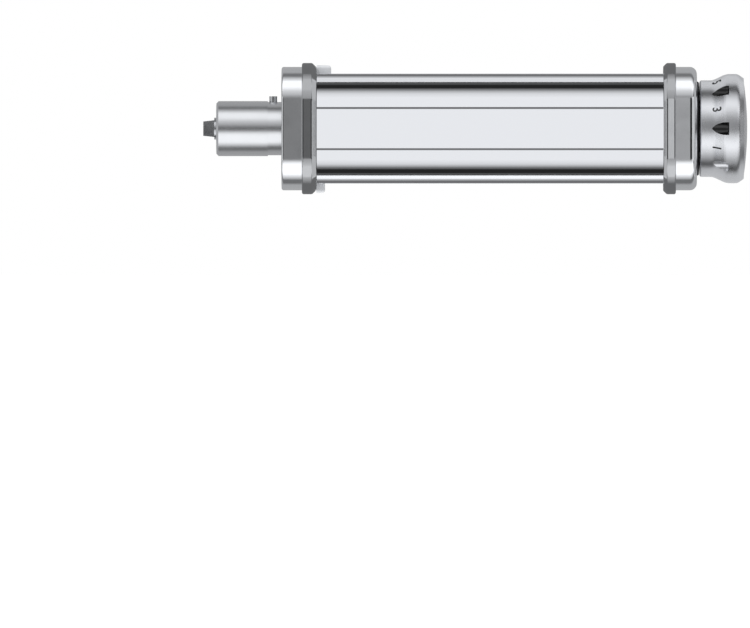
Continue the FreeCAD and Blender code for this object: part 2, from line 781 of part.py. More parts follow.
front_scraper = scraper("front_scraper", "-rod_y", "-rod_z", "rod_radius", [
    ("-14.3", "-17.2"), ("-6.3", "-9.45"), ("-5.7", "-10.2"), ("-12.7", "-18.4"),
])
rear_scraper = scraper("rear_scraper", "bar_y", "-bar_z", "bar_radius", [
    ("18.4", "-14.9"), ("7.9", "-11.9"), ("6.4", "-9.45"),
    ("5.7", "-10.4"), ("7.2", "-13.1"), ("18.6", "-16.0"),
])


# ---------------------------------------------------------------- dough guides

def inlet_guide(label, wedge_span, top_span):
    """Wedge over the rollers' ends, under a wider top that reaches the end plate above the slide block."""
    body = new_piece(label)
    wedge = [("-3.2", "4.6"), ("0.3", "4.6"), ("6.9", "9.0"),
             ("6.9", "16.4"), ("-6.9", "16.4"), ("-6.9", "9.0")]
    pad(body, *wedge_span, wedge)
    reach = "roller_radius + flange_clear"
    for axis_y in ("-roller_offset", "roller_offset - gap_travel"):
        cut(body, f"{wedge_span[0]} - 1", f"{wedge_span[1]} + 1", circles=[(reach, axis_y, "0")])
    pad(body, *top_span, [("-7.0", "16.0"), ("7.0", "16.0"), ("9.3", "24.4"), ("-9.3", "24.4")])
    return body


def free_edges(level, end):
    """Picks the long edges of an ear at one height: its front and rear edges and the one at its free end."""
    def chosen(edge):
        middle = edge.CenterOfMass
        at_side = abs(abs(middle.y) - size("guide_half_depth")) < 0.01
        at_end = abs(middle.x - size(end)) < 0.01
        return edge.Length > 2 and abs(middle.z - size(level)) < 0.01 and (at_side or at_end)
    return chosen


left_inlet_guide = inlet_guide("left_inlet_guide", ("left_wedge_start", "left_guide_end"),
                               ("cover_left", "left_guide_end"))
pad(left_inlet_guide, "cover_left", "ear_end",
    rectangle("-guide_half_depth", "guide_half_depth", "24.0", "ear_top"))
dress(left_inlet_guide, "Fillet", free_edges("ear_top", "ear_end"), "ear_round")
right_inlet_guide = inlet_guide("right_inlet_guide", ("right_guide_end", "right_wedge_end"),
                                ("right_guide_end", "cover_right"))


def outlet_guide(label, start, end, low):
    """Tab that closes the end of the outlet between the covers' lower lips."""
    body = new_piece(label)
    pad(body, start, end, [("-guide_half_depth + 0.6", "-foot_top"), ("guide_half_depth - 0.6", "-foot_top"),
                           ("guide_half_depth", low), ("-guide_half_depth", low)])
    return body


left_outlet_guide = outlet_guide("left_outlet_guide", "cover_left", "foot_end", "-foot_bottom")
dress(left_outlet_guide, "Fillet", free_edges("-foot_bottom", "foot_end"), "foot_round")
right_outlet_guide = outlet_guide("right_outlet_guide", "right_foot_start", "cover_right",
                                  "-right_foot_bottom")


# ---------------------------------------------------------------- adjuster: shaft, cam, bush and index pin

adjuster_shaft = turned_piece("adjuster_shaft", [
    ("cam_left", "0"), ("cam_left", "cam_hub_radius"), ("cam_right", "cam_hub_radius"),
    ("cam_right", "adjuster_collar"), ("cam_right + 0.8", "adjuster_collar"),
    ("cam_right + 0.8", "adjuster_radius"), ("adjuster_end", "adjuster_radius"),
    ("adjuster_end", "screw_radius"), ("adjuster_end - 9", "screw_radius"), ("adjuster_end - 9", "0"),
])
cut(adjuster_shaft, "knob_back - 0.5", "adjuster_end + 1",
    rectangle("-6", "6", "adjuster_flat", "6"))

turned_piece("adjuster_bush", [
    ("cam_right + 0.9", "adjuster_radius + running_gap"),
    ("housing_right + 0.9", "adjuster_radius + running_gap"),
    ("housing_right + 0.9", "adjuster_bush_radius"), ("housing_right - face_wall", "adjuster_bush_radius"),
    ("housing_right - face_wall", "adjuster_bush_flange"), ("cam_right + 0.9", "adjuster_bush_flange"),
])


def spiral_edge(shift, sweep, steps=24):
    """One wall of the cam slot: its radius falls evenly as the angle goes from 0 to -sweep degrees."""
    spots = []
    for step in range(steps + 1):
        share = step / steps
        radius = size("roller_offset") - size("gap_travel") * share + shift
        angle = math.radians(-sweep * share)
        spots.append(Vector(0, radius * math.cos(angle), radius * math.sin(angle)))
    curve = Part.BSplineCurve()
    curve.interpolate(spots)
    return curve.toShape(), spots


def cam_slot():
    """Closed slot that holds the follower pin over the knob's whole range."""
    half = size("follower_radius + running_gap")
    sweep = size("(settings - 1) * setting_angle")
    outer, outer_spots = spiral_edge(half, sweep)
    inner, inner_spots = spiral_edge(-half, sweep)
    start_mid = Vector(0, size("roller_offset"), half)
    last_angle = math.radians(-sweep)
    last_radius = size("roller_offset - gap_travel")
    onward = Vector(0, math.sin(last_angle), -math.cos(last_angle))
    end_centre = Vector(0, last_radius * math.cos(last_angle), last_radius * math.sin(last_angle))
    end_mid = end_centre + onward * half
    start_cap = Part.Arc(inner_spots[0], start_mid, outer_spots[0]).toShape()
    end_cap = Part.Arc(outer_spots[-1], end_mid, inner_spots[-1]).toShape()
    wire = Part.Wire(Part.__sortEdges__([outer, end_cap, inner, start_cap]))
    slot = Part.Face(wire).extrude(Vector(size("cam_right - cam_left") + 2, 0, 0))
    slot.translate(Vector(size("cam_left") - 1, 0, 0))
    return slot


cam_disc = doc.addObject("Part::Cylinder", "cam_disc")
cam_disc.Placement = Placement(Vector(0, 0, 0), ALONG_X)
cam_disc.setExpression("Radius", bound("cam_radius"))
cam_disc.setExpression("Height", bound("cam_right - cam_left"))
cam_disc.setExpression("Placement.Base.x", bound("cam_left"))
cam_bore = doc.addObject("Part::Cylinder", "cam_bore")
cam_bore.Placement = Placement(Vector(0, 0, 0), ALONG_X)
cam_bore.setExpression("Radius", bound("cam_hub_radius"))
cam_bore.setExpression("Height", bound("cam_right - cam_left + 2"))
cam_bore.setExpression("Placement.Base.x", bound("cam_left - 1"))
cam_slot_tool = doc.addObject("Part::Feature", "cam_slot")
cam_slot_tool.Shape = cam_slot()
cam_tools = doc.addObject("Part::MultiFuse", "cam_tools")
cam_tools.Shapes = [cam_bore, cam_slot_tool]
adjuster_cam = doc.addObject("Part::Cut", "adjuster_cam")
adjuster_cam.Label = "adjuster_cam"
adjuster_cam.Base = cam_disc
adjuster_cam.Tool = cam_tools
pieces.append(adjuster_cam)

turned_piece("index_pin", [
    ("housing_right - face_wall", "0"), ("housing_right - face_wall", "index_radius"),
    ("knob_back + index_groove_depth - 0.6", "index_radius"),
    ("knob_back + index_groove_depth - 0.2", "index_radius - 0.4"),
    ("knob_back + index_groove_depth - 0.2", "0"),
], "0", "index_circle")

turned_piece("seal_ring", [
    ("housing_right", "seal_inner"), ("housing_right + seal_thick", "seal_inner"),
    ("housing_right + seal_thick", "seal_outer - 0.5"), ("housing_right + seal_thick - 0.4", "seal_outer"),
    ("housing_right", "seal_outer"),
])


# ---------------------------------------------------------------- knob

def turned_edge(station, radius):
    """Picks the circular edge of a turned piece at one station and radius."""
    def chosen(edge):
        point = edge.Vertexes[0].Point
        return abs(point.x - station) < 0.01 and abs(math.hypot(point.y, point.z) - radius) < 0.01
    return chosen


knob = new_piece("knob")
web_face = "knob_back + knob_web"
cap_seat = "chamfer_end - 1.6"
turn(knob, [
    ("knob_back", "adjuster_radius + running_gap"), (web_face, "adjuster_radius + running_gap"),
    (web_face, "knob_cavity"), (cap_seat, "knob_cavity"), (cap_seat, "cap_radius"),
    ("chamfer_end", "cap_radius"), ("chamfer_end", "face_radius"), ("rim_end", "rim_radius"),
    ("flare_end + 0.8", "rim_radius"), ("flare_end", "rim_radius - 0.12"),
    ("flare_end - 0.9", "rim_radius - 0.45"), ("flare_start", "knob_radius"), ("knob_back", "knob_radius"),
])
for round_station, round_radius, amount in (
        ("knob_back", "knob_radius", "knob_back_round"), ("flare_start", "knob_radius", "flare_foot_round"),
        ("rim_end", "rim_radius", "rim_round")):
    dress(knob, "Fillet", turned_edge(size(round_station), size(round_radius)), amount)
flat_key = "adjuster_flat + running_gap"
pad(knob, "knob_back", web_face, [
    ("-3.2", flat_key), ("3.2", flat_key), ("3.2", "5.5"), ("-3.2", "5.5"),
])
cut(knob, "knob_back - 1", "knob_back + index_groove_depth", circles=[
    ("index_circle + index_radius + 0.3", "0", "0"), ("index_circle - index_radius - 0.3", "0", "0")])
for setting in range(int(DIMENSIONS["settings"])):
    hole_angle = 90 - setting * DIMENSIONS["setting_angle"]
    hole_y = f"index_circle * cos({hole_angle})"
    hole_z = f"index_circle * sin({hole_angle})"
    cut(knob, "knob_back + 1", "knob_back + 4.8", circles=[("index_radius + 0.2", hole_y, hole_z)])

scallop_axis = "scallop_floor + scallop_radius"
scallop_sketch = new_sketch(knob, "XY_Plane")
draw_outline(scallop_sketch, [
    ("knob_back - 2", f"-({scallop_axis})"),
    ("knob_back - 2", f"-({scallop_axis} - scallop_radius)"),
    ("scallop_end - scallop_corner", f"-({scallop_axis} - scallop_radius)"),
    ("scallop_end - scallop_corner * 0.3", f"-({scallop_axis} - scallop_radius + scallop_corner * 0.3)"),
    ("scallop_end", f"-({scallop_axis} - scallop_radius + scallop_corner)"),
    ("scallop_end", f"-({scallop_axis})"),
])
scallop_line = scallop_sketch.addGeometry(Part.LineSegment(
    Vector(size("knob_back") - 2, -size(scallop_axis), 0),
    Vector(size("scallop_end"), -size(scallop_axis), 0)), True)
scallop_sketch.addConstraint(Sketcher.Constraint("Coincident", scallop_line, 1, 0, 1))
scallop_sketch.addConstraint(Sketcher.Constraint("Coincident", scallop_line, 2, 5, 1))
scallop = knob.newObject("PartDesign::Groove", "knob_scallop")
scallop.Profile = scallop_sketch
scallop.ReferenceAxis = (scallop_sketch, ["Axis0"])
scallop.Angle = 360
doc.recompute()
repeat_round(knob, scallop, "scallops")

dome_rise = "knob_face - chamfer_end"
knob_cap = new_piece("knob_cap")
cap_sketch = new_sketch(knob_cap, "XY_Plane")
cap_low = size(cap_seat)
cap_edge = Vector(size("chamfer_end"), size("cap_radius"), 0)
cap_crown = Vector(size("knob_face"), 0, 0)
dome_radius = (size("cap_radius") ** 2 + size(dome_rise) ** 2) / (2 * size(dome_rise))
half_way = size("cap_radius") / 2
cap_mid = Vector(size("knob_face") - dome_radius + math.sqrt(dome_radius ** 2 - half_way ** 2), half_way, 0)
cap_sketch.addGeometry(Part.LineSegment(Vector(cap_low, 0, 0), Vector(cap_low, cap_edge.y, 0)), False)
cap_sketch.addGeometry(Part.LineSegment(Vector(cap_low, cap_edge.y, 0), cap_edge), False)
cap_sketch.addGeometry(Part.Arc(cap_edge, cap_mid, cap_crown), False)
cap_sketch.addGeometry(Part.LineSegment(cap_crown, Vector(cap_low, 0, 0)), False)
cap_turn = knob_cap.newObject("PartDesign::Revolution", "knob_cap_turned")
cap_turn.Profile = cap_sketch
cap_turn.ReferenceAxis = (cap_sketch, ["H_Axis"])
cap_turn.Angle = 360
doc.recompute()

turned_piece("spring_washer", tube("adjuster_end", "adjuster_end + 0.6", "screw_radius + 0.1", "6.8"))
turned_piece("knob_screw", [
    ("adjuster_end - 8", "0"), ("adjuster_end - 8", "screw_radius"), ("adjuster_end + 0.6", "screw_radius"),
    ("adjuster_end + 0.6", "3.0"), ("adjuster_end + 1.4", "3.0"), ("adjuster_end + 1.7", "2.6"),
    ("adjuster_end + 1.7", "0"),
])

spring_start = size(web_face) + size("spring_wire") / 2
spring_path = doc.addObject("Part::Helix", "spring_path")
spring_path.setExpression("Radius", bound("spring_radius"))
spring_path.setExpression("Height", bound(f"adjuster_end - spring_wire - ({web_face})"))
spring_path.setExpression("Pitch", bound(f"(adjuster_end - spring_wire - ({web_face})) / spring_turns"))
spring_path.Placement = Placement(Vector(spring_start, 0, 0), ALONG_X)
spring_ring = doc.addObject("Part::Circle", "spring_ring")
spring_ring.setExpression("Radius", bound("spring_wire / 2"))
ring_centre = Vector(spring_start, 0, -size("spring_radius"))
spring_ring.Placement = Placement(ring_centre, Rotation(Vector(1, 0, 0), 90))
knob_spring = doc.addObject("Part::Sweep", "knob_spring")
knob_spring.Label = "knob_spring"
knob_spring.Sections = [spring_ring]
knob_spring.Spine = (spring_path, [])
knob_spring.Solid = True
knob_spring.Frenet = True
pieces.append(knob_spring)


# ---------------------------------------------------------------- checks and export

doc.recompute()
for item in doc.Objects:
    if "Invalid" in item.State or "Error" in item.State:
        raise RuntimeError(f"{item.Label} failed to build")
for piece in pieces:
    shape = piece.Shape
    if shape.isNull() or not shape.isValid():
        raise RuntimeError(f"{piece.Label} has no valid shape")
    shape.exportStep(f"parts/{piece.Label}.step")
    print(f"{piece.Label}: {len(shape.Solids)} solid, {shape.Volume:.0f} mm3")
print(len(pieces), "pieces")
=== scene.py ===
# %% [markdown]
# A pasta sheet roller that plugs into a stand mixer: a chromed casing with two rollers inside, a hub spigot at the
# left end and a pull-and-turn thickness knob at the right end. The casing, rollers, gears and knob come from the CAD
# frame and keep their shape and size. This script gives each of them a surface, adds the numerals on the knob, which
# are too fine for the frame, and sets up the studio.

# %% Load the frame
import json
import math

import bpy
from mathutils import Matrix, Vector

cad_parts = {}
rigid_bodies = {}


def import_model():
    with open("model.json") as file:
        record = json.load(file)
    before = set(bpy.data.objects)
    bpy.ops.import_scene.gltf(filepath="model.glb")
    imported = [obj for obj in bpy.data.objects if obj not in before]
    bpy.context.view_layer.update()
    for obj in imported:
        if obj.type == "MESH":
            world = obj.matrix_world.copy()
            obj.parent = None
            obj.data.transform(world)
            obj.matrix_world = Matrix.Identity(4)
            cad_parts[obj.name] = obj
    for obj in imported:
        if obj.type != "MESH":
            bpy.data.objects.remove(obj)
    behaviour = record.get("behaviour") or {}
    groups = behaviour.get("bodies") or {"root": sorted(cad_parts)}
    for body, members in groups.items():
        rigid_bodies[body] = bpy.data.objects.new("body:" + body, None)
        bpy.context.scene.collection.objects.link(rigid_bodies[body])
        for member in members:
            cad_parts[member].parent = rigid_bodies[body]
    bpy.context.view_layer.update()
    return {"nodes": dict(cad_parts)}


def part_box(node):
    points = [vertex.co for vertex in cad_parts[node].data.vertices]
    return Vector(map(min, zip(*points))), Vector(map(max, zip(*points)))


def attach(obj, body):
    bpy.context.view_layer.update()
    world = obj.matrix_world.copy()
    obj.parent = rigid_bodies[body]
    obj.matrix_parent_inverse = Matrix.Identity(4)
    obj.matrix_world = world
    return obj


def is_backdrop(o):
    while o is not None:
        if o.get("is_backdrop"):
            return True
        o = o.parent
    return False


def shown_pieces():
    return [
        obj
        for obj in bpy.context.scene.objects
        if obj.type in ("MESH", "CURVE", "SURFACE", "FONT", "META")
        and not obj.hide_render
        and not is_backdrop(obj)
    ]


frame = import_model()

MM = 0.001

# %% [markdown]
# Every place below is read from the frame, so nothing has to be fitted by eye. The casing's own axis is the X axis:
# the drive shaft, the hub spigot and the knob are all centred on it, and the two rollers lie before and behind it.

# %% Places read from the frame
knob_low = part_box("knob")[0]
cover_low, cover_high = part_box("front_cover")
case_top = cover_high.z
case_middle_x = (cover_low.x + cover_high.x) / 2
print("casing", round((cover_high.x - cover_low.x) / MM), "mm long, top at", round(case_top / MM, 1), "mm")

# %% [markdown]
# A material in Blender is a small network of nodes. One function adds a node, sets its plain values and makes its
# links, so that each finish below reads as a list of what it is made of. Colours are written the way a paint shop
# would give them, as sRGB hex codes, and turned to the linear values that the renderer works in.

# %% Helpers for materials
def linear_colour(code):
    """Linear RGBA of an sRGB hex code such as '#C8C9CB'."""
    channels = [int(code[start:start + 2], 16) / 255 for start in (1, 3, 5)]
    linear = [c / 12.92 if c <= 0.04045 else ((c + 0.055) / 1.055) ** 2.4 for c in channels]
    return (*linear, 1.0)


def add_node(owner, kind, settings=None, **inputs):
    """Add a node; n0, n1 ... name its inputs by number, and other names use underscores for spaces.

    An input is a plain value, or the output socket of another node, which is then linked."""
    tree = owner.node_tree
    node = tree.nodes.new(kind)
    for name, value in (settings or {}).items():
        setattr(node, name, value)
    for name, value in inputs.items():
        numbered = name[0] == "n" and name[1:].isdigit()
        socket = node.inputs[int(name[1:])] if numbered else node.inputs[name.replace("_", " ")]
        if isinstance(value, bpy.types.NodeSocket):
            tree.links.new(value, socket)
        else:
            socket.default_value = value
    return node


def feed(material, output, shader, name):
    """Let a texture drive one of the shader's inputs."""
    material.node_tree.links.new(output, shader.inputs[name])


def new_material(name, colour, metallic, roughness):
    """A material whose shader has this colour, metalness and roughness, ready for texture."""
    material = bpy.data.materials.new(name)
    material.use_nodes = True
    shader = material.node_tree.nodes["Principled BSDF"]
    shader.inputs["Base Color"].default_value = linear_colour(colour)
    shader.inputs["Metallic"].default_value = metallic
    shader.inputs["Roughness"].default_value = roughness
    return material, shader


def flat_coordinates(material, per_mm, centre=(0.0, 0.0, 0.0)):
    """Object coordinates scaled so that one unit of a texture is 1 / per_mm millimetres on each axis."""
    place = add_node(material, "ShaderNodeTexCoord")
    scale = [value / MM for value in per_mm]
    shift = [-centre[axis] * scale[axis] for axis in range(3)]
    mapping = add_node(material, "ShaderNodeMapping", Vector=place.outputs["Object"], Scale=scale, Location=shift)
    return mapping.outputs["Vector"]


def lathe_coordinates(material, along_per_mm, across_per_mm, centre=(0.0, 0.0, 0.0)):
    """Coordinates of a turned piece: distance along its axis and distance from its axis, never the angle."""
    place = add_node(material, "ShaderNodeTexCoord")
    moved = add_node(material, "ShaderNodeVectorMath", {"operation": "SUBTRACT"}, n0=place.outputs["Object"],
                     n1=centre)
    split = add_node(material, "ShaderNodeSeparateXYZ", Vector=moved.outputs["Vector"])
    outward = add_node(material, "ShaderNodeCombineXYZ", Y=split.outputs["Y"], Z=split.outputs["Z"])
    radius = add_node(material, "ShaderNodeVectorMath", {"operation": "LENGTH"}, n0=outward.outputs["Vector"])
    along = add_node(material, "ShaderNodeMath", {"operation": "MULTIPLY"}, n0=split.outputs["X"],
                     n1=along_per_mm / MM)
    across = add_node(material, "ShaderNodeMath", {"operation": "MULTIPLY"}, n0=radius.outputs["Value"],
                      n1=across_per_mm / MM)
    joined = add_node(material, "ShaderNodeCombineXYZ", X=along.outputs["Value"], Y=across.outputs["Value"])
    return joined.outputs["Vector"]


def dress(node_names, material):
    """Put a material on every slot of the named CAD nodes."""
    for name in node_names:
        mesh = frame["nodes"][name].data
        if not mesh.materials:
            mesh.materials.append(material)
        for index in range(len(mesh.materials)):
            mesh.materials[index] = material
    print(material.name, "on", ", ".join(node_names))


# %% [markdown]
# The two covers are rolled from stainless sheet that was polished to a mirror. A mirror has no colour of its own to
# speak of: what shows is the room. What tells the eye that it is sheet metal are very fine lines left by the mill,
# which run along the sheet, a hardly visible waviness, and a slight haze of wiping marks that changes the gloss.

# %% Covers: mirror-polished rolled stainless sheet
def polished_sheet():
    material, shader = new_material("polished_rolled_stainless", "#EDEEF1", 1.0, 0.07)
    mill = flat_coordinates(material, (0.01, 3.0, 3.0))
    lines = add_node(material, "ShaderNodeTexNoise", Vector=mill, Scale=1.0, Detail=3.0)
    haze_place = flat_coordinates(material, (0.03, 0.09, 0.09))
    haze = add_node(material, "ShaderNodeTexNoise", Vector=haze_place, Scale=1.0, Detail=4.0, Roughness=0.6)
    gloss = add_node(material, "ShaderNodeMapRange", Value=haze.outputs["Fac"], From_Min=0.35, From_Max=0.7,
                     To_Min=0.05, To_Max=0.10)
    feed(material, gloss.outputs["Result"], shader, "Roughness")
    grain = add_node(material, "ShaderNodeBump", Strength=0.04, Distance=0.02 * MM, Height=lines.outputs["Fac"])
    feed(material, grain.outputs["Normal"], shader, "Normal")
    return material


dress(["front_cover", "rear_cover"], polished_sheet())

# %% [markdown]
# The housings and the square end plates are zinc castings, buffed and then chrome plated. Buffing leaves soft edges
# and a skin that is smooth but not flat, so the reflections are a little blurred and wander slightly. A fine noise in
# the bump gives that "orange peel", and a larger one varies the gloss where the buffing wheel pressed harder.

# %% Castings: buffed and plated zinc
def plated_casting():
    material, shader = new_material("buffed_plated_zinc_casting", "#D9DADC", 1.0, 0.10)
    peel_place = flat_coordinates(material, (0.3, 0.3, 0.3))
    peel = add_node(material, "ShaderNodeTexNoise", Vector=peel_place, Scale=1.0, Detail=3.0, Roughness=0.5)
    wheel_place = flat_coordinates(material, (0.12, 0.12, 0.12))
    wheel = add_node(material, "ShaderNodeTexNoise", Vector=wheel_place, Scale=1.0, Detail=5.0, Roughness=0.65)
    gloss = add_node(material, "ShaderNodeMapRange", Value=wheel.outputs["Fac"], From_Min=0.3, From_Max=0.7,
                     To_Min=0.08, To_Max=0.13)
    feed(material, gloss.outputs["Result"], shader, "Roughness")
    relief = add_node(material, "ShaderNodeBump", Strength=0.10, Distance=0.05 * MM, Height=peel.outputs["Fac"])
    feed(material, relief.outputs["Normal"], shader, "Normal")
    return material


dress(["left_housing", "left_end_plate", "right_end_plate", "right_housing"], plated_casting())

# %% [markdown]
# Turned pieces carry the track of the lathe tool: fine rings that follow the piece round. A texture that only knows
# the distance along the axis and the distance from it, and not the angle, draws rings on every face of the piece.
# The same recipe serves the satin knob, the shafts, the rods and the rollers, with a different feed and gloss.

# %% Turned metals
def turned_metal(name, colour, roughness, feed_mm, relief, centre=(0.0, 0.0, 0.0)):
    """Metal with lathe rings feed_mm apart; relief is how strongly they catch the light."""
    material, shader = new_material(name, colour, 1.0, roughness)
    per_mm = 1.0 / feed_mm
    rings_place = lathe_coordinates(material, per_mm, per_mm, centre)
    rings = add_node(material, "ShaderNodeTexNoise", Vector=rings_place, Scale=1.0, Detail=2.0, Roughness=0.7)
    cloud_place = flat_coordinates(material, (0.08, 0.08, 0.08))
    cloud = add_node(material, "ShaderNodeTexNoise", Vector=cloud_place, Scale=1.0, Detail=5.0, Roughness=0.6)
    gloss = add_node(material, "ShaderNodeMapRange", Value=cloud.outputs["Fac"], From_Min=0.3, From_Max=0.7,
                     To_Min=roughness * 0.85, To_Max=roughness * 1.2)
    feed(material, gloss.outputs["Result"], shader, "Roughness")
    groove = add_node(material, "ShaderNodeBump", Strength=relief, Distance=0.02 * MM, Height=rings.outputs["Fac"])
    feed(material, groove.outputs["Normal"], shader, "Normal")
    return material


roller_low, roller_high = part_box("fixed_roller")
front_axis = (roller_low + roller_high) / 2
back_low, back_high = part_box("adjustable_roller")
back_axis = (back_low + back_high) / 2

dress(["knob_cap"], turned_metal("satin_turned_cap_alloy", "#D6D7DA", 0.27, 0.25, 0.2))
dress(["hub_spigot", "locating_pin"], turned_metal("turned_plated_spigot", "#C9CACC", 0.22, 0.30, 0.3))
dress(["drive_shaft", "adjuster_shaft", "index_pin"], turned_metal("ground_shaft_steel", "#B9BABC", 0.25, 0.2, 0.2))
dress(["fixed_roller", "fixed_roller_left_axle", "fixed_roller_right_axle"],
      turned_metal("polished_front_roller_steel", "#D3D4D6", 0.16, 0.4, 0.12, (0.0, front_axis.y, 0.0)))
dress(["adjustable_roller", "adjustable_roller_left_axle", "adjustable_roller_right_axle"],
      turned_metal("polished_back_roller_steel", "#D3D4D6", 0.16, 0.4, 0.12, (0.0, back_axis.y, 0.0)))

# %% [markdown]
# The knob is turned like the shafts, and then gets eight finger scallops from a ball-nosed cutter that runs along it.
# Four of them, at the even settings, are coloured near-black: painted shade for the dark that deep scallops take on,
# stopped at the knob's rim so that the scallop at 45 degrees shows only a dark crescent. A point of the knob is in
# such a scallop if it lies no further from the cutter's path than the cutter's radius. The nodes below measure that
# distance for the four paths, keep the smallest, and swap the bare metal for the painted shade where it is small
# enough.

# %% Knob: satin metal with painted shade in four scallops
SETTING_STEP = math.radians(22.5)
CUTTER_RADIUS = 2.85 * MM
CUTTER_PATH_RADIUS = 25.1 * MM
CUTTER_STOP = 204.45 * MM
PAINTED_SHADE_MARGIN = 0.1 * MM
SETTINGS_WITH_PAINTED_SHADE = (2, 4, 6, 8)
FRONT_SETTING = 2


def enamelled_knob():
    material = turned_metal("satin_knob_alloy_with_painted_scallop_shade", "#D6D7DA", 0.27, 0.25, 0.2)
    shader = material.node_tree.nodes["Principled BSDF"]
    place = add_node(material, "ShaderNodeTexCoord")
    split = add_node(material, "ShaderNodeSeparateXYZ", Vector=place.outputs["Object"])
    section = add_node(material, "ShaderNodeCombineXYZ", Y=split.outputs["Y"], Z=split.outputs["Z"])
    nearest = None
    for setting in SETTINGS_WITH_PAINTED_SHADE:
        angle = (setting - FRONT_SETTING) * SETTING_STEP
        path_point = (0.0, -CUTTER_PATH_RADIUS * math.cos(angle), CUTTER_PATH_RADIUS * math.sin(angle))
        gap = add_node(material, "ShaderNodeVectorMath", {"operation": "DISTANCE"}, n0=section.outputs["Vector"],
                       n1=path_point).outputs["Value"]
        if nearest is not None:
            gap = add_node(material, "ShaderNodeMath", {"operation": "MINIMUM"}, n0=nearest, n1=gap).outputs["Value"]
        nearest = gap
    outside = add_node(material, "ShaderNodeMath", {"operation": "GREATER_THAN"}, n0=nearest,
                       n1=CUTTER_RADIUS + PAINTED_SHADE_MARGIN)
    past_stop = add_node(material, "ShaderNodeMath", {"operation": "GREATER_THAN"}, n0=split.outputs["X"],
                         n1=CUTTER_STOP)
    bare = add_node(material, "ShaderNodeMath", {"operation": "MAXIMUM"}, n0=outside.outputs["Value"],
                    n1=past_stop.outputs["Value"])
    # Painted shade: inside the four scallops the knob takes near-black #060607 and loses its metal, standing in for
    # the dark of the deep notches.
    colour = add_node(material, "ShaderNodeMix", {"data_type": "RGBA"}, n0=bare.outputs["Value"],
                      n6=linear_colour("#060607"), n7=linear_colour("#D6D7DA"))
    feed(material, colour.outputs[2], shader, "Base Color")
    feed(material, bare.outputs["Value"], shader, "Metallic")
    return material


dress(["knob"], enamelled_knob())

# %% [markdown]
# Rods, bars, screws, the spring and the circlip are drawn or formed steel with a thin zinc coat. Drawing leaves lines
# along the length; the coat adds a faint mottling of colour. Gears are hobbed and a touch darker from their oil.

# %% Drawn steel, zinc-coated steel and gear steel
def drawn_steel(name, colour, roughness, mottle_colour):
    """Bright bar with drawing lines along X and a slight mottling of its coat."""
    material, shader = new_material(name, colour, 1.0, roughness)
    line_place = flat_coordinates(material, (0.03, 4.0, 4.0))
    lines = add_node(material, "ShaderNodeTexNoise", Vector=line_place, Scale=1.0, Detail=3.0)
    mottle_place = flat_coordinates(material, (0.5, 0.5, 0.5))
    mottle = add_node(material, "ShaderNodeTexNoise", Vector=mottle_place, Scale=1.0, Detail=4.0)
    tint = add_node(material, "ShaderNodeMix", {"data_type": "RGBA"}, n0=mottle.outputs["Fac"],
                    n6=linear_colour(colour), n7=linear_colour(mottle_colour))
    feed(material, tint.outputs[2], shader, "Base Color")
    grain = add_node(material, "ShaderNodeBump", Strength=0.25, Distance=0.02 * MM, Height=lines.outputs["Fac"])
    feed(material, grain.outputs["Normal"], shader, "Normal")
    return material


dress(["frame_rod_front_low", "frame_rod_rear_low", "frame_rod_rear_top", "frame_rod_front_top",
       "carriage_bar_upper", "carriage_bar_lower"], drawn_steel("drawn_bright_bar", "#BDBEC0", 0.3, "#A9AAAE"))
dress(["left_housing_screws", "right_housing_screws", "knob_screw", "spring_washer", "shaft_circlip"],
      drawn_steel("zinc_coated_steel", "#B4B6BC", 0.32, "#9FA3AC"))
dress(["knob_spring"], drawn_steel("oiled_spring_wire", "#7B7C80", 0.35, "#5F6064"))
dress(["drive_pinion", "step_gear", "fixed_sync_gear", "adjustable_sync_gear", "adjuster_cam"],
      drawn_steel("hobbed_oiled_gear_steel", "#8E8F93", 0.34, "#77787C"))

# %% [markdown]
# The bushes are sintered bronze: metal powder pressed and baked, with pores that hold oil. The pores are about a
# tenth of a millimetre wide; they show as a dark speckle. The slide blocks are plain die castings with a fine grain.

# %% Sintered bronze and die-cast alloy
def speckled_metal(name, colour, speck_colour, roughness, grain_mm):
    """Metal with a speckle of small dark pores, grain_mm apart."""
    material, shader = new_material(name, colour, 1.0, roughness)
    per_mm = 1.0 / grain_mm
    place = flat_coordinates(material, (per_mm, per_mm, per_mm))
    pores = add_node(material, "ShaderNodeTexVoronoi", Vector=place, Scale=1.0)
    mask = add_node(material, "ShaderNodeMapRange", Value=pores.outputs["Distance"], From_Min=0.15, From_Max=0.45)
    tint = add_node(material, "ShaderNodeMix", {"data_type": "RGBA"}, n0=mask.outputs["Result"],
                    n6=linear_colour(speck_colour), n7=linear_colour(colour))
    feed(material, tint.outputs[2], shader, "Base Color")
    relief = add_node(material, "ShaderNodeBump", Strength=0.4, Distance=0.03 * MM, Height=mask.outputs["Result"])
    feed(material, relief.outputs["Normal"], shader, "Normal")
    return material


dress(["shaft_bush_outer", "shaft_bush_inner", "fixed_bush_left", "fixed_bush_right", "left_block_bush",
       "right_block_bush", "adjuster_bush"], speckled_metal("sintered_bronze", "#B98A4E", "#7A5730", 0.38, 0.25))
dress(["left_slide_block", "right_slide_block"],
      speckled_metal("die_cast_alloy", "#A7A9AC", "#8C8E91", 0.42, 0.5))
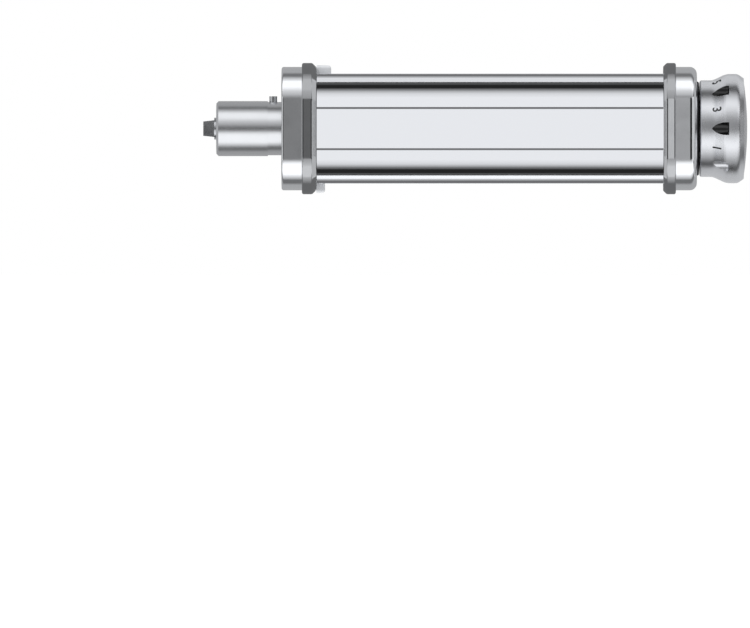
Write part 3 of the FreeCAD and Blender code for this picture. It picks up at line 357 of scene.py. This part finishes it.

# %% [markdown]
# The dough guides and the scrapers are moulded acetal, a pale slippery plastic that lets a little light in below its
# surface. The mould's spark-eroded walls give it a fine, even texture. The ring behind the knob is coloured
# near-black.

# %% Moulded plastics
def moulded_plastic(name, colour, roughness, texture_mm, glow):
    """Plastic with a fine moulded texture; glow is how much light goes in under its surface."""
    material, shader = new_material(name, colour, 0.0, roughness)
    per_mm = 1.0 / texture_mm
    place = flat_coordinates(material, (per_mm, per_mm, per_mm))
    texture = add_node(material, "ShaderNodeTexNoise", Vector=place, Scale=1.0, Detail=3.0, Roughness=0.6)
    sheen = add_node(material, "ShaderNodeMapRange", Value=texture.outputs["Fac"], From_Min=0.3, From_Max=0.7,
                     To_Min=roughness * 0.85, To_Max=roughness * 1.15)
    feed(material, sheen.outputs["Result"], shader, "Roughness")
    relief = add_node(material, "ShaderNodeBump", Strength=0.25, Distance=0.04 * MM, Height=texture.outputs["Fac"])
    feed(material, relief.outputs["Normal"], shader, "Normal")
    shader.inputs["Subsurface Weight"].default_value = glow
    shader.inputs["Subsurface Radius"].default_value = (1.0, 1.0, 1.0)
    shader.inputs["Subsurface Scale"].default_value = 0.6 * MM
    return material


dress(["left_inlet_guide", "right_inlet_guide", "left_outlet_guide", "right_outlet_guide"],
      moulded_plastic("moulded_silver_grey_acetal", "#DCDEE1", 0.32, 0.35, 0.15))
dress(["front_scraper", "rear_scraper"], moulded_plastic("moulded_natural_acetal", "#DEDDD6", 0.42, 0.35, 0.3))
dress(["seal_ring"], moulded_plastic("near_black_moulded_ring", "#0B0B0C", 0.5, 0.4, 0.0))

# %% [markdown]
# The knob's numerals are filled with black enamel on its sloping flank. Only the odd settings carry one: the finger
# scallops between them stand for the even ones. A numeral starts as flat text, is turned into a mesh, cut fine enough
# to bend, and then wrapped round the knob by moving its points: its reading direction goes round the knob, and its
# tops point to the knob's outer end. How far out each point lies is found by looking from outside towards the axis
# until the knob's surface is met, so the enamel follows every curve of the flank.

# %% Numerals on the knob
FLANK_START = knob_low.x + 5.8 * MM
FLANK_RADIUS = 23.2 * MM
NUMERAL_HEIGHT = 3.9 * MM
HEIGHT_SHARE_OF_TYPE_SIZE = 0.7
STROKE_GAIN = 0.07 * MM
CLEAR_OF_THE_KNOB = 40 * MM
INK_THICKNESS = 0.05 * MM
WELD_DISTANCE = 0.001 * MM
knob = frame["nodes"]["knob"]


def numeral_ink():
    material, shader = new_material("black_filled_enamel", "#08080A", 0.0, 0.35)
    place = flat_coordinates(material, (2.0, 2.0, 2.0))
    cloud = add_node(material, "ShaderNodeTexNoise", Vector=place, Scale=1.0, Detail=3.0)
    sheen = add_node(material, "ShaderNodeMapRange", Value=cloud.outputs["Fac"], To_Min=0.28, To_Max=0.45)
    feed(material, sheen.outputs["Result"], shader, "Roughness")
    return material


def knob_surface(station, turn):
    """The point of the knob's surface straight out from its axis, and the outward direction there."""
    outward = Vector((0.0, -math.cos(turn), math.sin(turn)))
    start = Vector((station, 0.0, 0.0)) + outward * CLEAR_OF_THE_KNOB
    found, point = knob.ray_cast(start, -outward)[:2]
    if not found:
        raise RuntimeError("no knob surface under the numeral")
    return point, outward


def numeral(text, angle, ink):
    """One numeral wrapped on the flank; angle is measured from the front, upwards."""
    bpy.ops.object.select_all(action="DESELECT")
    bpy.ops.object.text_add(location=(0, 0, 0))
    label = bpy.context.object
    label.data.body = text
    label.data.align_x = "CENTER"
    label.data.size = NUMERAL_HEIGHT / HEIGHT_SHARE_OF_TYPE_SIZE
    label.data.extrude = INK_THICKNESS
    label.data.offset = STROKE_GAIN
    bpy.ops.object.convert(target="MESH")
    piece = bpy.context.object
    piece.name = f"numeral_{text}"
    bpy.ops.object.mode_set(mode="EDIT")
    bpy.ops.mesh.select_all(action="SELECT")
    bpy.ops.mesh.remove_doubles(threshold=WELD_DISTANCE)
    bpy.ops.mesh.quads_convert_to_tris()
    bpy.ops.mesh.subdivide(number_cuts=2)
    bpy.ops.mesh.normals_make_consistent(inside=False)
    bpy.ops.object.mode_set(mode="OBJECT")
    for vertex in piece.data.vertices:
        across, up, lift = vertex.co
        point, outward = knob_surface(FLANK_START + up, angle - across / FLANK_RADIUS)
        vertex.co = point + outward * (lift + INK_THICKNESS)
    piece.data.materials.clear()
    piece.data.materials.append(ink)
    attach(piece, "knob_body")
    return piece


ink = numeral_ink()
numerals = []
for setting in (1, 3, 5, 7):
    numerals.append(numeral(str(setting), (setting - FRONT_SETTING) * SETTING_STEP, ink))
print("numerals:", ", ".join(piece.name for piece in numerals))

# %% [markdown]
# The attachment is held by the mixer's hub, well above the worktop, so the pale floor lies far below it and runs on
# into a pale backdrop with no horizon. The floor doesn't show in polished metal: what shows there is decided by the
# softboxes alone, as in a product studio where the table is masked off.

# %% Floor
WORKTOP_DROP = 320 * MM
FLOOR_WIDTH = 60.0


def pale_floor():
    material, shader = new_material("pale_matt_floor", "#FCFCFC", 0.0, 0.9)
    shader.inputs["Specular IOR Level"].default_value = 0.0
    place = flat_coordinates(material, (0.02, 0.02, 0.02))
    cloud = add_node(material, "ShaderNodeTexNoise", Vector=place, Scale=1.0, Detail=2.0)
    tint = add_node(material, "ShaderNodeMix", {"data_type": "RGBA"}, n0=cloud.outputs["Fac"],
                    n6=linear_colour("#FBFBFB"), n7=linear_colour("#FFFFFF"))
    feed(material, tint.outputs[2], shader, "Base Color")
    return material


bpy.ops.object.select_all(action="DESELECT")
bpy.ops.mesh.primitive_plane_add(size=FLOOR_WIDTH, location=(case_middle_x, 0, -WORKTOP_DROP))
floor = bpy.context.object
floor.name = "floor"
floor.data.materials.append(pale_floor())
floor.visible_glossy = False
floor.visible_shadow = False
floor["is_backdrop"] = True
print("floor at", round(floor.location.z / MM, 1), "mm")

# %% [markdown]
# The room is white to the camera and to matt surfaces, and nearly black to polished ones. Polished metal needs that:
# it looks like metal only if bright panels stand against something dark.

# %% Room
world = bpy.data.worlds.new("studio_room")
bpy.context.scene.world = world
world.use_nodes = True
world.node_tree.nodes.clear()
ray = add_node(world, "ShaderNodeLightPath")
strength = add_node(world, "ShaderNodeMapRange", Value=ray.outputs["Is Camera Ray"], To_Min=0.8, To_Max=1.0)
white_room = add_node(world, "ShaderNodeBackground", Color=(1.0, 1.0, 1.0, 1.0), Strength=strength.outputs["Result"])
dark_room = add_node(world, "ShaderNodeBackground", Color=(1.0, 1.0, 1.0, 1.0), Strength=0.02)
room = add_node(world, "ShaderNodeMixShader", n0=ray.outputs["Is Glossy Ray"],
                n1=white_room.outputs["Background"], n2=dark_room.outputs["Background"])
add_node(world, "ShaderNodeOutputWorld", Surface=room.outputs["Shader"])
bpy.context.scene.view_settings.view_transform = "Standard"
print("room ready")

# %% [markdown]
# Softboxes stand on a large circle round the object, above and below it alike. A place on that circle is an angle:
# 0 is in front, 90 overhead, 180 behind, and -90 underneath. A polished surface that leans back by some angle shows
# what stands at twice that angle, so a table of angles and brightnesses is a drawing of the reflections, from the
# flat front over the rounded corner to the top. A softbox with feathered edges is made of narrow slices whose
# brightness changes little by little.
#
# The mirror-bright covers, the castings, the end plates and the knob each get a set of their own, as a studio would
# light them in separate exposures. Matt pieces get a plain soft key light, and the floor an even wash.

# %% Softbox makers
STUDIO_RADIUS = 4.5
SLICE = 4.0
WIDE = 110.0
NEARLY_OVERHEAD = 0.01
FRONT_PANEL = (7, 16)
COOL_WHITE = (0.975, 0.985, 1.0)
case_centre = Vector((case_middle_x, 0.0, 0.0))


def lit_group(name, members):
    """A collection of objects that a set of softboxes lights."""
    group = bpy.data.collections.new(name)
    for member in members:
        group.objects.link(member)
    return group


def aimed(outward):
    """Rotation of a panel that faces the object and keeps its long side level."""
    back = outward.normalized()
    side = Vector((0, 0, 1)).cross(back)
    if side.length < NEARLY_OVERHEAD:
        side = Vector((1, 0, 0))
    side.normalize()
    return Matrix((side, back.cross(side), back)).transposed().to_euler()


def softbox(name, group, rise, width, height, brightness, bearing=0.0):
    """A panel seen `rise` degrees up from the horizon at `bearing`; width and height are in degrees too."""
    lamp = bpy.data.lights.new(name, "AREA")
    lamp.shape = "RECTANGLE"
    lamp.size = 2 * STUDIO_RADIUS * math.tan(math.radians(width / 2))
    lamp.size_y = 2 * STUDIO_RADIUS * math.tan(math.radians(height / 2))
    lamp.color = COOL_WHITE
    lamp.energy = brightness * math.pi * lamp.size * lamp.size_y
    box = bpy.data.objects.new(name, lamp)
    bpy.context.scene.collection.objects.link(box)
    turn, lift = math.radians(bearing), math.radians(rise)
    outward = Vector((math.sin(turn) * math.cos(lift), -math.cos(turn) * math.cos(lift), math.sin(lift)))
    box.location = case_centre + outward * STUDIO_RADIUS
    box.rotation_euler = aimed(outward)
    box.visible_camera = False
    box.light_linking.receiver_collection = group
    return box


def feathered_arc(name, group, zones):
    """Softboxes along the circle; a zone is (from angle, to angle, first brightness, last brightness)."""
    for start, end, first, last in zones:
        steps = 1 if first == last else max(1, round(abs(end - start) / SLICE))
        height = abs(end - start) / steps
        for step in range(steps):
            share = (step + 0.5) / steps
            middle = start + (end - start) * share
            softbox(f"{name}_{round(middle)}", group, middle, WIDE, height, first + (last - first) * share)


def floor_wash(strength):
    """Even light straight down that only the floor receives, so that it meets the backdrop without a horizon."""
    lamp = bpy.data.lights.new("floor_wash", "SUN")
    lamp.energy = strength
    wash = bpy.data.objects.new("floor_wash", lamp)
    bpy.context.scene.collection.objects.link(wash)
    wash.location = (0.0, 0.0, STUDIO_RADIUS)
    wash.light_linking.receiver_collection = lit_group("lit_as_floor", [floor])


# %% What each set of softboxes lights
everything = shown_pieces()
cover_names = ["front_cover", "rear_cover"]
matt_names = ["left_inlet_guide", "right_inlet_guide", "left_outlet_guide", "right_outlet_guide", "front_scraper",
              "rear_scraper", "seal_ring"]
knob_names = ["knob", "knob_cap"]
front_panels = {"left_housing": 0.29, "left_end_plate": 0.15, "right_end_plate": 0.70, "right_housing": 0.50}
covers = [frame["nodes"][name] for name in cover_names]
knob_pieces = [frame["nodes"][name] for name in knob_names]
matt = [frame["nodes"][name] for name in matt_names] + numerals
cover_group = lit_group("lit_as_mirrors", covers)
matt_group = lit_group("lit_as_matt", matt + [floor])
knob_group = lit_group("lit_as_knob", knob_pieces)
casting_group = lit_group("lit_as_castings",
                          [piece for piece in everything if piece not in covers + matt + knob_pieces])
plate_group = lit_group("lit_as_plates", [frame["nodes"][name] for name in ("left_end_plate", "right_end_plate")])
round_group = lit_group("lit_from_the_sides",
                        [piece for piece in casting_group.objects if piece.name not in plate_group.objects])
plain_group = lit_group("lit_by_the_plain_front_panel",
                        [piece for piece in casting_group.objects if piece.name not in front_panels])

# %% Softboxes for the covers
feathered_arc("cover", cover_group, [
    (-10, 10, 0.94, 0.94), (10, 24, 0.90, 0.76), (24, 36, 0.74, 0.42), (36, 48, 0.36, 0.05),
    (66, 78, 0.04, 0.10), (82, 112, 0.82, 0.82), (112, 128, 0.60, 0.25), (128, 156, 0.16, 0.16),
])
feathered_arc("cover", cover_group, [
    (-10, -26, 0.90, 0.74), (-26, -38, 0.72, 0.32), (-38, -50, 0.26, 0.04), (-70, -80, 0.04, 0.12),
    (-84, -106, 1.12, 1.12), (-106, -122, 0.70, 0.30), (-122, -156, 0.16, 0.16),
])
softbox("cover_behind", cover_group, 180, WIDE, 48, 0.8)

# %% Softboxes for the castings and the other metal
feathered_arc("casting", round_group, [
    (8, 16, 0.35, 0.55), (16, 34, 0.60, 0.95), (34, 44, 1.00, 1.40), (44, 70, 1.45, 1.45), (70, 90, 1.20, 0.30),
    (90, 104, 0.22, 0.22), (104, 112, 0.30, 0.50), (112, 152, 0.50, 0.50),
])
feathered_arc("casting", round_group, [
    (-8, -16, 0.40, 1.00), (-16, -24, 1.10, 1.50), (-24, -62, 1.55, 1.55), (-62, -84, 1.40, 0.35),
    (-84, -104, 0.20, 0.20), (-104, -114, 0.30, 0.50), (-114, -152, 0.50, 0.50),
])
feathered_arc("plate", plate_group, [
    (8, 34, 0.40, 0.55), (34, 70, 0.62, 0.62), (70, 90, 0.55, 0.25), (90, 152, 0.17, 0.17),
])
feathered_arc("plate", plate_group, [
    (-8, -30, 0.42, 0.70), (-30, -66, 0.80, 0.80), (-66, -90, 0.60, 0.20), (-90, -152, 0.16, 0.16),
])
softbox("casting_behind", round_group, 180, WIDE, 56, 0.45)
softbox("plate_behind", plate_group, 180, WIDE, 56, 0.16)
softbox("plain_front", plain_group, 0, *FRONT_PANEL, 0.35)
for name, brightness in front_panels.items():
    softbox(f"front_of_{name}", lit_group(f"only_{name}", [frame["nodes"][name]]), 0, *FRONT_PANEL, brightness)
for side in (-1, 1):
    softbox(f"casting_side_{side}", round_group, 0, 34, 16, 0.8, 51 * side)
    softbox(f"casting_end_{side}", casting_group, 0, 44, 70, 0.6, 92 * side)

# %% Softboxes for the knob
feathered_arc("knob", knob_group, [
    (-7, 7, 0.26, 0.26), (7, 20, 0.26, 0.34), (20, 36, 0.40, 0.80), (36, 48, 0.90, 1.20), (48, 62, 1.25, 1.25),
    (62, 84, 1.15, 0.25), (102, 112, 0.30, 0.75), (112, 150, 0.80, 0.80), (150, 170, 0.55, 0.55),
])
feathered_arc("knob", knob_group, [
    (-7, -16, 0.35, 0.90), (-16, -30, 1.00, 1.32), (-30, -44, 1.36, 1.36), (-44, -66, 1.25, 0.70),
    (-66, -84, 0.60, 0.28), (-104, -114, 0.45, 0.70), (-114, -170, 0.68, 0.68),
])
softbox("knob_behind", knob_group, 180, WIDE, 20, 0.4)
for side in (-1, 1):
    softbox(f"knob_end_{side}", knob_group, 0, 56, 50, 0.45, 96 * side)

# %% Key light for the matt pieces and wash for the floor
softbox("matt_key", matt_group, 48, 44, 44, 2.0, -35)
floor_wash(0.85)

# %% [markdown]
# The camera looks straight at the front of the object from far away through a long lens, level with the drive axis,
# so that lengths and heights show without perspective. The frame leaves room to the left, where the mixer would
# stand, and below, where the sheet of dough would hang.

# %% Camera
CAMERA_DISTANCE = 8.0
FRAME_WIDTH = 343.5 * MM
SENSOR_WIDTH = 36.0
frame_centre = Vector((42.6 * MM, 0.0, -84.9 * MM))
stand_point = Vector((case_middle_x, -CAMERA_DISTANCE, 0.0))
view_line = frame_centre - stand_point

camera_data = bpy.data.cameras.new("product_camera")
camera_data.sensor_width = SENSOR_WIDTH
camera_data.lens = SENSOR_WIDTH * view_line.length / FRAME_WIDTH
camera = bpy.data.objects.new("product_camera", camera_data)
bpy.context.scene.collection.objects.link(camera)
camera.location = stand_point
camera.rotation_euler = view_line.to_track_quat("-Z", "Y").to_euler()
bpy.context.scene.camera = camera
print("camera lens", round(camera_data.lens), "mm")
